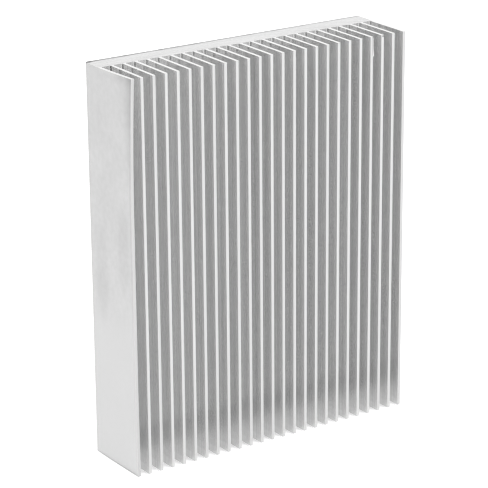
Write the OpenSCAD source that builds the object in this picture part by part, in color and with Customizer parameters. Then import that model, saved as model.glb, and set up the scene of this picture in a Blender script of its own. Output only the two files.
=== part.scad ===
// Extruded aluminium heat sink, one piece: a thick flat base plate that
// carries a comb of thin straight fins, sawn to length from a longer bar.
// It stands on one sawn end. The extrusion runs along Z, the fins point along
// -Y, and the flat mounting face of the base plate looks along +Y.
// All lengths are in millimetres. The origin is under the middle of the part.

/* [Extruded section] */
// Width across all the fins, which is also the width of the base plate
sink_w = 100; // [70:1:160]
// Thickness of the base plate
base_t = 8; // [3:0.5:15]
// Height of the fins above the base plate
fin_h = 17; // [6:0.5:30]
// Thickness of each fin
fin_t = 1; // [0.6:0.05:1.6]
// Number of fins
fin_n = 25; // [10:1:28]

/* [Die radii] */
// Fillet where each fin runs into the base plate
root_r = 0.5; // [0.2:0.05:0.8]
// Round on the two edges of each fin tip
tip_r = 0.1; // [0.1:0.05:0.5]
// Round on the two back edges of the base plate
back_r = 1; // [0.4:0.1:2.5]

/* [Cut to length] */
// Length of the sawn piece, along the extrusion
cut_len = 125; // [60:1:300]

/* [Knocked outer fin] */
// How far the tip of the first fin leans over its neighbour at the upper end
upper_lean = 1.05; // [0:0.05:1.4]
// Length of fin that this lean has pulled over, down from the upper end
upper_reach = 42; // [20:1:55]
// How far the same tip leans at the lower end
lower_lean = 0.25; // [0:0.05:1.4]
// Length of fin that this lean has pulled over, up from the lower end
lower_reach = 35; // [20:1:55]

/* [Hidden] */
$fn = 48;

depth = base_t + fin_h;
base_front = depth / 2 - base_t;
pitch = (sink_w - fin_t) / (fin_n - 1);
// A round takes at most this share of the fin that it is cut from
tip_round = min(tip_r, 0.45 * fin_t);
// Overlap that joins shapes which would only touch, or clears a cut
lap = 0.2;

// Steps of the knocked fin's surface: up its length, out along its height,
// and round each tip edge
LENGTH_STEPS = 26;
HEIGHT_STEPS = 7;
ROUND_STEPS = 3;

// Left side of fin i, counted from 0 at the left
function fin_x(i) = -sink_w / 2 + i * pitch;

// What lies between a square corner at the origin and the quarter circle of
// radius r that touches both +X and +Y. It fills an inside corner or, cut
// away, rounds an outside one.
module corner_2d(r) {
    difference() {
        translate([-lap, -lap]) square(r + lap);
        translate([r, r]) circle(r = r);
    }
}

// Base plate with its two back edges rounded
module base_2d() {
    difference() {
        translate([-sink_w / 2, base_front]) square([sink_w, base_t]);
        for (side = [0, 1])
            mirror([side, 0])
                translate([-sink_w / 2, depth / 2]) mirror([0, 1]) corner_2d(back_r);
    }
}

// One straight fin, from x = 0 to fin_t, rooted in the base plate
module fin_2d() {
    difference() {
        translate([0, -fin_h]) square([fin_t, fin_h + lap]);
        translate([0, -fin_h]) corner_2d(tip_round);
        translate([fin_t, -fin_h]) mirror([1, 0]) corner_2d(tip_round);
    }
}

// The two root fillets of the gap to the right of fin i
module gap_fillets_2d(i) {
    translate([fin_x(i) + fin_t, 0]) mirror([0, 1]) corner_2d(root_r);
    translate([fin_x(i + 1), 0]) rotate(180) corner_2d(root_r);
}

// How far the first fin's tip leans to the right at height z
function tip_lean(z) =
    upper_lean * pow(max(0, 1 - (cut_len - z) / upper_reach), 2)
    + lower_lean * pow(max(0, 1 - z / lower_reach), 2);

// Share of that lean at y: none at the root, all of it at the tip
function lean_share(y) = pow(max(0, -y) / fin_h, 1.5);

// A quarter of the tip's rounding, from start to start + 90 degrees
function tip_arc(x, start) = [
    for (k = [0 : ROUND_STEPS])
        let (a = start + 90 * k / ROUND_STEPS)
        [x + tip_round * cos(a), -fin_h + tip_round * (1 + sin(a))]
];

// Outline of the first fin before it leans: down its outer side to the tip
// and back up its inner side. The root is sunk into the base plate and drawn
// in a little there, clear of the plate's own side.
function fin_outline() = concat(
    [[lap / 2, lap]],
    [for (k = [0 : HEIGHT_STEPS - 1]) [0, -(fin_h - tip_round) * k / HEIGHT_STEPS]],
    tip_arc(tip_round, 180),
    tip_arc(fin_t - tip_round, 270),
    [for (k = [HEIGHT_STEPS - 1 : -1 : 0]) [fin_t, -(fin_h - tip_round) * k / HEIGHT_STEPS]],
    [[fin_t - lap / 2, lap]]
);

// Heights of the outlines, close together at both ends, where the fin leans.
// The first and last stand past the bar's ends, where the saw takes them off.
function ring_z(k) = cut_len / 2 - (cut_len / 2 + 2 * lap) * cos(180 * k / LENGTH_STEPS);

// The first fin, leaning over its neighbour towards both sawn ends
module knocked_fin() {
    outline = fin_outline();
    n = len(outline);
    points = [
        for (k = [0 : LENGTH_STEPS], p = outline)
            let (z = ring_z(k))
            [p[0] + tip_lean(z) * lean_share(p[1]), p[1], z]
    ];
    sides = [
        for (k = [0 : LENGTH_STEPS - 1], i = [0 : n - 1])
            let (a = k * n + i, b = k * n + (i + 1) % n)
            each [[a, a + n, b + n], [a, b + n, b]]
    ];
    lower_end = [for (i = [0 : n - 1]) i];
    upper_end = [for (i = [n - 1 : -1 : 0]) LENGTH_STEPS * n + i];
    polyhedron(points = points, faces = concat(sides, [lower_end, upper_end]));
}

// Everything that comes straight out of the die: the base plate and every
// fin but the first, a little longer than the finished piece
module bar() {
    translate([0, 0, -lap])
    linear_extrude(height = cut_len + 2 * lap)
    union() {
        base_2d();
        translate([0, base_front]) {
            for (i = [1 : fin_n - 1]) translate([fin_x(i), 0]) fin_2d();
            for (i = [0 : fin_n - 2]) gap_fillets_2d(i);
        }
    }
}

// What the two saw cuts leave
module sawn_length() {
    translate([-sink_w, -depth, 0]) cube([2 * sink_w, 2 * depth, cut_len]);
}

module heat_sink() {
    color([0.86, 0.86, 0.86])
    intersection() {
        union() {
            bar();
            translate([fin_x(0), base_front, 0]) knocked_fin();
        }
        sawn_length();
    }
}

heat_sink();
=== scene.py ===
"""Dresses the one-piece extruded heat sink and sets it on a white studio floor."""

import math

import bmesh
import bpy
from mathutils import Matrix, Vector


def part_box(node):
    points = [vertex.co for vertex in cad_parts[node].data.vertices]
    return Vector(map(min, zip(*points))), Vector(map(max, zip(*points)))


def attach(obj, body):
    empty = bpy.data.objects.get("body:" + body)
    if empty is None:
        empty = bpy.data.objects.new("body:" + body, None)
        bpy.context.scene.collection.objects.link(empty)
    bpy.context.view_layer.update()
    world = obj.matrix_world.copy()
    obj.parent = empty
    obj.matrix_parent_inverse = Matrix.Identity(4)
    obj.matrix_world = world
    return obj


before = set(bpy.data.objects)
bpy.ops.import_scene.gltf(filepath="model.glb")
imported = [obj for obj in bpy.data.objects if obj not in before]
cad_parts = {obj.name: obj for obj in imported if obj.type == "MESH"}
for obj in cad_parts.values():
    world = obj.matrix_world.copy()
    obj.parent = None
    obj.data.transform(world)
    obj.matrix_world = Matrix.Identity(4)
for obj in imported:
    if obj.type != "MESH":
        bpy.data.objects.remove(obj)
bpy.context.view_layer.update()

MM = 0.001
LOW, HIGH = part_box("heat_sink")
SIZE = HIGH - LOW
MIDDLE = (LOW + HIGH) / 2

# The section's own sizes, in metres; fins are counted from 0, which is the knocked one
BASE_T = 8 * MM
FIN_T = 1 * MM
FIN_N = 25
PITCH = (SIZE.x - FIN_T) / (FIN_N - 1)
BASE_FRONT = HIGH.y - BASE_T


def fin_left(number):
    return LOW.x + number * PITCH


# ---------------------------------------------------------------- camera

CAMERA_AZIMUTH = 33.52      # degrees to the left of straight on
CAMERA_ELEVATION = 19.10
CAMERA_ROLL = -0.459
CAMERA_DISTANCE = 0.7391
CAMERA_SENSOR = 36          # mm wide
CAMERA_LENS = 175.36        # mm
CAMERA_AIM = Vector((-1.70, 0.808, 61.811)) * MM


def add_camera():
    """The camera of the matched view, set from its angles and the point that it looks at."""
    azimuth, elevation, roll = (
        math.radians(a) for a in (CAMERA_AZIMUTH, CAMERA_ELEVATION, CAMERA_ROLL)
    )
    forward = Vector((
        math.sin(azimuth) * math.cos(elevation),
        math.cos(azimuth) * math.cos(elevation),
        -math.sin(elevation),
    ))
    level_right = Vector((math.cos(azimuth), -math.sin(azimuth), 0))
    level_up = level_right.cross(forward)
    right = level_right * math.cos(roll) + level_up * math.sin(roll)
    up = level_up * math.cos(roll) - level_right * math.sin(roll)
    data = bpy.data.cameras.new("camera")
    data.sensor_width = CAMERA_SENSOR
    data.lens = CAMERA_LENS
    data.clip_start = 0.01
    data.clip_end = 100
    camera = bpy.data.objects.new("camera", data)
    turn = Matrix((right, up, -forward)).transposed().to_4x4()
    camera.matrix_world = Matrix.Translation(CAMERA_AIM - forward * CAMERA_DISTANCE) @ turn
    bpy.context.scene.collection.objects.link(camera)
    bpy.context.scene.camera = camera


# ---------------------------------------------------------------- node helpers

class Graph:
    """A material's node tree, with short calls that add a node and return its output."""

    def __init__(self, tree):
        self.tree = tree

    def feed(self, socket, value):
        if isinstance(value, bpy.types.NodeSocket):
            self.tree.links.new(value, socket)
        else:
            socket.default_value = value

    def add(self, kind, values=(), **settings):
        node = self.tree.nodes.new("ShaderNode" + kind)
        for name, setting in settings.items():
            setattr(node, name, setting)
        for socket, value in zip(node.inputs, values):
            self.feed(socket, value)
        return node

    def math(self, operation, first, second=0.0):
        return self.add("Math", (first, second), operation=operation).outputs[0]

    def product(self, first, *others):
        for other in others:
            first = self.math("MULTIPLY", first, other)
        return first

    def ramp(self, value, low, high, start=0.0, end=1.0):
        """Runs smoothly from start to end while value runs from low to high."""
        node = self.add("MapRange", (value, low, high, start, end))
        node.interpolation_type = "SMOOTHSTEP"
        return node.outputs[0]

    def blend(self, first, second, share):
        """Goes from first to second as share goes from 0 to 1."""
        node = self.tree.nodes.new("ShaderNodeMix")
        for socket, value in zip(node.inputs, (share, (0, 0, 0), first, second)):
            self.feed(socket, value)
        return node.outputs[0]

    def noise(self, x, y, z, grain, detail=1.0):
        """Noise from 0 to 1 whose grain is so long along x, y and z."""
        steps = [self.math("DIVIDE", value, length) for value, length in zip((x, y, z), grain)]
        place = self.add("CombineXYZ", steps).outputs[0]
        node = self.add("TexNoise")
        self.feed(node.inputs["Vector"], place)
        node.inputs["Scale"].default_value = 1.0
        node.inputs["Detail"].default_value = detail
        return node.outputs[0]

    def spread(self, noise, start, end):
        """Brings noise, which mostly stays between 0.3 and 0.7, to run from start to end."""
        return self.ramp(noise, 0.3, 0.7, start, end)

    def split(self, vector):
        return self.add("SeparateXYZ", (vector,)).outputs

    def grey(self, shade):
        return self.add("CombineColor", (shade, shade, shade)).outputs[0]

    def from_point(self, first, second, at, across=1.0, up=1.0):
        """How far two coordinates are from a point, counted in steps of across and up."""
        return self.math("SQRT", self.math(
            "ADD",
            self.math("POWER", self.math("DIVIDE", self.math("SUBTRACT", first, at[0]), across), 2.0),
            self.math("POWER", self.math("DIVIDE", self.math("SUBTRACT", second, at[1]), up), 2.0),
        ))


def new_material(name):
    material = bpy.data.materials.new(name)
    material.use_nodes = True
    return material, Graph(material.node_tree), material.node_tree.nodes["Principled BSDF"]


# ---------------------------------------------------------------- burr

BURR_CORNER = fin_left(21) + FIN_T
BURR_TOP = HIGH.z - 0.5 * MM
BURR_LENGTH = 5.6 * MM
BURR_FOOT = BURR_TOP - BURR_LENGTH
BURR_WIDTH = 0.18 * MM      # at the upper end
BURR_FLARE = 0.3 * MM       # how much wider the torn end is
BURR_REACH = 0.12 * MM      # how far the upper end stands past the fin's corner
BURR_LEAN = 0.36 * MM       # how much further the torn end stands
BURR_DEPTH = 0.3 * MM
BURR_TEAR = 0.15 * MM
BURR_RINGS = 14
BURR_SIDES = 8


def add_burr():
    """A sliver that the saw peeled from one fin's corner: it widens downwards and ends torn."""
    bm = bmesh.new()
    rings = []
    for step in range(BURR_RINGS + 1):
        share = step / BURR_RINGS
        width = BURR_WIDTH + BURR_FLARE * share ** 4
        left = BURR_CORNER + BURR_REACH + BURR_LEAN * share ** 4 - width
        z = BURR_TOP - BURR_LENGTH * share
        ring = []
        for side in range(BURR_SIDES):
            turn = 2 * math.pi * side / BURR_SIDES
            x = left + width / 2 * (1 + math.cos(turn))
            y = LOW.y + BURR_DEPTH / 2 * (1 + math.sin(turn)) * (0.4 + 0.6 * share)
            tear = BURR_TEAR * math.sin(3 * turn) if step == BURR_RINGS else 0
            ring.append(bm.verts.new((x, y, z + tear)))
        rings.append(ring)
    for upper, lower in zip(rings, rings[1:]):
        for side in range(BURR_SIDES):
            after = (side + 1) % BURR_SIDES
            bm.faces.new((upper[side], upper[after], lower[after], lower[side]))
    bm.faces.new(rings[0])
    bm.faces.new(rings[-1])
    bmesh.ops.recalc_face_normals(bm, faces=bm.faces)
    mesh = bpy.data.meshes.new("saw_burr")
    bm.to_mesh(mesh)
    bm.free()
    burr = bpy.data.objects.new("saw_burr", mesh)
    bpy.context.scene.collection.objects.link(burr)
    burr.data.materials.append(torn_aluminium())
    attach(burr, "root")


def torn_aluminium():
    """Freshly torn metal: brighter and rougher than the extruded skin."""
    material, graph, shader = new_material("torn_aluminium")
    x, y, z = graph.split(graph.add("TexCoord").outputs["Object"])
    grain = graph.noise(x, y, z, (0.1 * MM, 0.1 * MM, 0.4 * MM), 2.0)
    shade = graph.spread(grain, 0.96, 1.0)
    graph.feed(shader.inputs["Base Color"], graph.grey(shade))
    shader.inputs["Metallic"].default_value = 0.2
    graph.feed(shader.inputs["Roughness"], graph.spread(grain, 0.55, 0.4))
    return material


# ---------------------------------------------------------------- aluminium

# The finish works in millimetres; these are the part's faces
LEFT_X = LOW.x / MM
RIGHT_X = HIGH.x / MM
TIP_Y = LOW.y / MM
ROOT_Y = BASE_FRONT / MM
BACK_Y = HIGH.y / MM
TOP_Z = HIGH.z / MM

# Each zone's linear grey, metallic share and roughness
FINISH = {
    "gap": (0.988, 1.0, 0.15),
    "lip": (1.0, 0.67, 0.15),
    "back": (0.86, 0.7, 0.25),
    "outer": (0.86, 0.7, 0.25),
    "tip": (0.9, 0.3, 0.3),
    "plate_end": (0.93, 0.5, 0.4),
    # fin_end is the same sawn face as plate_end, lighter: a painted highlight on the fins' thin top ends
    "fin_end": (1.0, 0.5, 0.4),
}
RELIEF = 0.001 * MM         # height of the fine unevenness

# The two finger smears: middle along Y and Z, half width and half height
SMEARS = (
    ((5.5, 60), 4.5, 19),
    ((-7.5, 72), 4.0, 17),
)
SAW_AXLE = (-30, -160)      # X and Y of the point that the saw's arcs run round
CORNER_MARK = (LEFT_X + 0.9, BACK_Y - 0.6, TOP_Z + 0.2)
# A small dark mark just under the upper end of one fin's tip
TIP_MARK = ((fin_left(22) + 0.65 * FIN_T) / MM, TIP_Y, TOP_Z - 0.35)


def zones(graph, x, y, facing):
    """Shares from 0 to 1 of the zones laid over the gap finish, in the order that they are laid."""
    outward = graph.product(facing[0], x, 2 * MM / SIZE.x)
    at_tip = graph.ramp(y, TIP_Y + 1.0, TIP_Y + 0.5)
    sawn = graph.ramp(graph.math("ABSOLUTE", facing[2]), 0.5, 0.9)
    at_fin = graph.ramp(y, ROOT_Y + 0.1, ROOT_Y - 0.1)
    return {
        "lip": graph.ramp(y, TIP_Y + 2.8, TIP_Y + 0.4),
        "back": graph.ramp(facing[1], 0.5, 0.9),
        "outer": graph.ramp(outward, 0.93, 0.96),
        "tip": graph.product(graph.ramp(facing[1], -0.5, -0.9), at_tip),
        "plate_end": sawn,
        "fin_end": graph.product(sawn, at_fin),
    }


def by_zone(graph, shares, column):
    """One column of FINISH over the whole part."""
    value = FINISH["gap"][column]
    for zone, share in shares.items():
        value = graph.blend(value, FINISH[zone][column], share)
    return value


def streaks(graph, x, y, z, width, length, depth):
    """Die lines: noise across the section, drawn out along Z; from 1 down by that depth."""
    noise = graph.noise(x, y, z, (width, width, length))
    return graph.spread(noise, 1 - depth, 1.0)


def die_lines(graph, x, y, z):
    """Broad lines and finer ones between them."""
    return graph.product(
        streaks(graph, x, y, z, 0.6, 400, 0.1),
        streaks(graph, x, y, z, 0.25, 300, 0.03),
    )


def clouds(graph, x, y, z):
    """The handled look of the outer faces: soft patches and fine specks."""
    patches = graph.spread(graph.noise(x, y, z, (12, 12, 14), 3.0), 0.90, 0.955)
    specks = graph.spread(graph.noise(x, y, z, (2.0, 2.0, 2.0), 2.0), 0.97, 1.02)
    return graph.product(patches, specks)


def cloud_and_shade_share(graph, z):
    """How strongly the sides are clouded: less towards the foot. As the clouds darken on the whole, this
    is partly painted shade that leaves the upper part darker than the foot.
    """
    return graph.ramp(z, 40, 60, 0.2, 1.0)


def smudges(graph, x, y, z):
    """Two finger smears down the knocked fin's outer face."""
    smeared = 1.0
    for middle, wide, tall in SMEARS:
        away = graph.from_point(y, z, middle, wide, tall)
        smeared = graph.product(smeared, graph.ramp(away, 0.5, 1.0, 0.95, 1.0))
    return graph.blend(smeared, 1.0, graph.ramp(x, -10, 10))


def edge_and_corner_shade(graph, y, z):
    """Painted shade: darker along the outer faces' upper and front edges, most of all where the fin was
    knocked and bends.
    """
    upper = graph.ramp(z, TOP_Z - 20, TOP_Z - 5, 1.0, 0.97)
    corner = graph.product(graph.ramp(y, TIP_Y + 4.5, TIP_Y), graph.ramp(z, TOP_Z - 40, TOP_Z - 5))
    front_edge = graph.product(graph.ramp(y, TIP_Y + 1.4, TIP_Y + 0.6), graph.ramp(z, 40, 70))
    top_edge = graph.product(graph.ramp(y, TIP_Y + 11, TIP_Y + 5), graph.ramp(z, TOP_Z - 3.5, TOP_Z))
    return graph.product(
        upper,
        graph.blend(1.0, 0.82, corner),
        graph.blend(1.0, 0.95, front_edge),
        graph.blend(1.0, 0.86, top_edge),
    )


def root_shade(graph, y, z):
    """Painted shade deep inside the gaps, next to the upper cut end; 1 elsewhere."""
    near_root = graph.ramp(y, ROOT_Y - 9, ROOT_Y - 3)
    return graph.blend(1.0, 0.97, graph.product(near_root, graph.ramp(z, TOP_Z - 8, TOP_Z - 3)))


def saw_marks(graph, x, y):
    """Fine arcs left on both ends by the saw."""
    from_axle = graph.from_point(x, y, SAW_AXLE)
    arcs = graph.spread(graph.noise(from_axle, x, y, (0.6, 12, 12), 2.0), 0.88, 1.0)
    grain = graph.spread(graph.noise(x, y, 0.0, (0.6, 1.2, 1), 2.0), 0.9, 1.0)
    return graph.product(arcs, grain)


def dark_back_edge_line(graph, x, y):
    """A broken dark line painted along the back edge of a cut end, weaker towards the right; 1 where
    there is none.
    """
    at_edge = graph.ramp(y, BACK_Y - 1.6, BACK_Y - 0.8)
    broken = graph.ramp(graph.noise(x, 0.0, 0.0, (5, 1, 1), 3.0), 0.35, 0.65, 0.55, 1.0)
    fading = graph.ramp(x, LEFT_X, RIGHT_X, 1.0, 0.5)
    return graph.blend(1.0, 0.3, graph.product(at_edge, broken, fading))


def darker_end_tips(graph, x):
    """The first and last fin's tips are a little darker; on the first this is painted shade."""
    first = graph.ramp(x, LEFT_X + 1.5, LEFT_X + 2.5, 0.91, 1.0)
    last = graph.ramp(x, RIGHT_X - FIN_T / MM - 1, RIGHT_X - FIN_T / MM, 1.0, 0.94)
    return graph.product(first, last)


def sliver_line_shade(graph, x, z):
    """Painted shadow: a dark line on the tip beside the peeled sliver; 1 elsewhere."""
    corner = BURR_CORNER / MM
    foot = BURR_FOOT / MM
    crease = graph.product(
        graph.ramp(x, corner - 0.5, corner - 0.35),
        graph.ramp(x, corner, corner - 0.1),
        graph.ramp(z, foot - 0.3, foot + 0.5),
    )
    return graph.blend(1.0, 0.78, crease)


def spot(graph, place, centre, radius, shade):
    """A soft mark of that shade round one point; 1 elsewhere."""
    distance = graph.add("VectorMath", (place, centre), operation="DISTANCE").outputs["Value"]
    return graph.ramp(distance, radius * 0.4, radius, shade, 1.0)


def marks_by_zone(graph, x, y, z, shares):
    """Lines, patches, wear and painted shade over the whole part: 1 where the finish is clean and
    unshaded, less where marked or shaded.
    """
    lines = die_lines(graph, x, y, z)
    patches = clouds(graph, x, y, z)
    zone_marks = {
        "lip": 1.0,
        "back": graph.product(patches, graph.blend(1.0, lines, 0.5)),
        "outer": graph.product(
            graph.blend(1.0, patches, cloud_and_shade_share(graph, z)), smudges(graph, x, y, z), edge_and_corner_shade(graph, y, z)
        ),
        "tip": graph.product(lines, sliver_line_shade(graph, x, z), darker_end_tips(graph, x)),
        "plate_end": graph.product(saw_marks(graph, x, y), dark_back_edge_line(graph, x, y)),
        "fin_end": 1.0,
    }
    marks = graph.product(lines, root_shade(graph, y, z))
    for zone, share in shares.items():
        marks = graph.blend(marks, zone_marks[zone], share)
    return marks


def aluminium():
    """Mill-finish aluminium: die lines along Z, saw marks on both cut ends."""
    material, graph, shader = new_material("bare_aluminium")
    where = graph.add("TexCoord").outputs
    scaled = graph.add("VectorMath", operation="SCALE")
    graph.feed(scaled.inputs["Vector"], where["Object"])
    graph.feed(scaled.inputs["Scale"], 1 / MM)
    place = scaled.outputs[0]
    x, y, z = graph.split(place)
    shares = zones(graph, x, y, graph.split(where["Normal"]))

    shade = graph.product(
        by_zone(graph, shares, 0),
        marks_by_zone(graph, x, y, z, shares),
        spot(graph, place, CORNER_MARK, 1.4, 0.3),
        spot(graph, place, TIP_MARK, 0.42, 0.35),
    )
    graph.feed(shader.inputs["Base Color"], graph.grey(shade))
    graph.feed(shader.inputs["Metallic"], by_zone(graph, shares, 1))
    fine = graph.noise(x, y, z, (0.8, 0.8, 5))
    dulling = graph.spread(fine, 0.97, 1.03)
    graph.feed(shader.inputs["Roughness"], graph.product(by_zone(graph, shares, 2), dulling))
    relief = graph.add("Bump")
    relief.inputs["Strength"].default_value = 1.0
    relief.inputs["Distance"].default_value = RELIEF
    graph.feed(relief.inputs["Height"], fine)
    graph.feed(shader.inputs["Normal"], relief.outputs[0])
    return material


# ---------------------------------------------------------------- stage

FLOOR_REACH = 3.0           # metres from the middle to each side
FLOOR_LIFT = 0.45           # light added for the camera alone, so that the floor shows white
# The floor's level in reflections: under the part, where the lower level is a painted shadow, in front
# of it, and beside or behind it
GLOSS_UNDER = 0.52
GLOSS_FRONT = 0.82
GLOSS_BACK = 0.88


def add_floor():
    """A white floor that keeps the part's shadow and shows in the metal at its own levels."""
    corners = [(x * FLOOR_REACH, y * FLOOR_REACH, 0) for x, y in ((-1, -1), (1, -1), (1, 1), (-1, 1))]
    mesh = bpy.data.meshes.new("floor")
    mesh.from_pydata(corners, [], [(0, 1, 2, 3)])
    floor = bpy.data.objects.new("floor", mesh)
    bpy.context.scene.collection.objects.link(floor)
    material, graph, shader = new_material("floor_white")
    shader.inputs["Base Color"].default_value = (1, 1, 1, 1)
    shader.inputs["Roughness"].default_value = 1.0
    shader.inputs["Specular IOR Level"].default_value = 0.0
    shader.inputs["Emission Color"].default_value = (1, 1, 1, 1)
    path = graph.add("LightPath").outputs
    graph.feed(shader.inputs["Emission Strength"], graph.product(path["Is Camera Ray"], FLOOR_LIFT))
    x, y, _ = graph.split(graph.add("TexCoord").outputs["Object"])
    front = graph.ramp(y, LOW.y, LOW.y - 3 * MM)
    # Painted shadow in reflections: the floor glows less under the part
    under = graph.product(
        graph.ramp(graph.math("ABSOLUTE", x), SIZE.x / 2 + MM, SIZE.x / 2),
        graph.ramp(graph.math("ABSOLUTE", y), SIZE.y / 2 + 1.5 * MM, SIZE.y / 2 - 4.5 * MM),
    )
    level = graph.blend(graph.blend(GLOSS_BACK, GLOSS_FRONT, front), GLOSS_UNDER, under)
    glow = graph.add("Emission")
    graph.feed(glow.inputs["Strength"], level)
    mix = graph.add("MixShader", (path["Is Glossy Ray"], shader.outputs[0], glow.outputs[0]))
    graph.feed(material.node_tree.nodes["Material Output"].inputs["Surface"], mix.outputs[0])
    floor.data.materials.append(material)


WORLD_BACK = 1.0
WORLD_FRONT = 0.6
ZENITH_SHARE = 0.8          # of the level at the horizon


def set_world():
    """A white studio, plain white to the camera and dimmer in front of the part and overhead."""
    world = bpy.data.worlds.new("studio")
    world.use_nodes = True
    graph = Graph(world.node_tree)
    background = world.node_tree.nodes["Background"]
    background.inputs["Color"].default_value = (1, 1, 1, 1)
    path = graph.add("LightPath").outputs
    _, back, up = graph.split(graph.add("TexCoord").outputs["Generated"])
    level = graph.product(
        graph.ramp(back, -0.6, 0.2, WORLD_FRONT, WORLD_BACK),
        graph.ramp(up, 0.1, 1.0, 1.0, ZENITH_SHARE),
    )
    graph.feed(background.inputs["Strength"], graph.blend(level, 1.0, path["Is Camera Ray"]))
    bpy.context.scene.world = world


KEY_POWER = 8.0             # watts
KEY_SIZE = 0.8
KEY_PLACE = Vector((0.6, -0.9, 0.9))


def add_key():
    """A large soft lamp above the front right."""
    data = bpy.data.lights.new("key", "AREA")
    data.shape = "DISK"
    data.size = KEY_SIZE
    data.energy = KEY_POWER
    key = bpy.data.objects.new("key", data)
    key.location = KEY_PLACE
    key.rotation_euler = (MIDDLE - KEY_PLACE).to_track_quat("-Z", "Y").to_euler()
    bpy.context.scene.collection.objects.link(key)


add_camera()
heat_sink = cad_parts["heat_sink"]
heat_sink.material_slots[0].material = aluminium()
add_burr()
add_floor()
set_world()
add_key()

scene = bpy.context.scene
scene.view_settings.view_transform = "Standard"
# Light is thrown to and fro many times between the fins
scene.cycles.max_bounces = 24
scene.cycles.glossy_bounces = 24
scene.cycles.diffuse_bounces = 8
scene.cycles.filter_width = 1.2
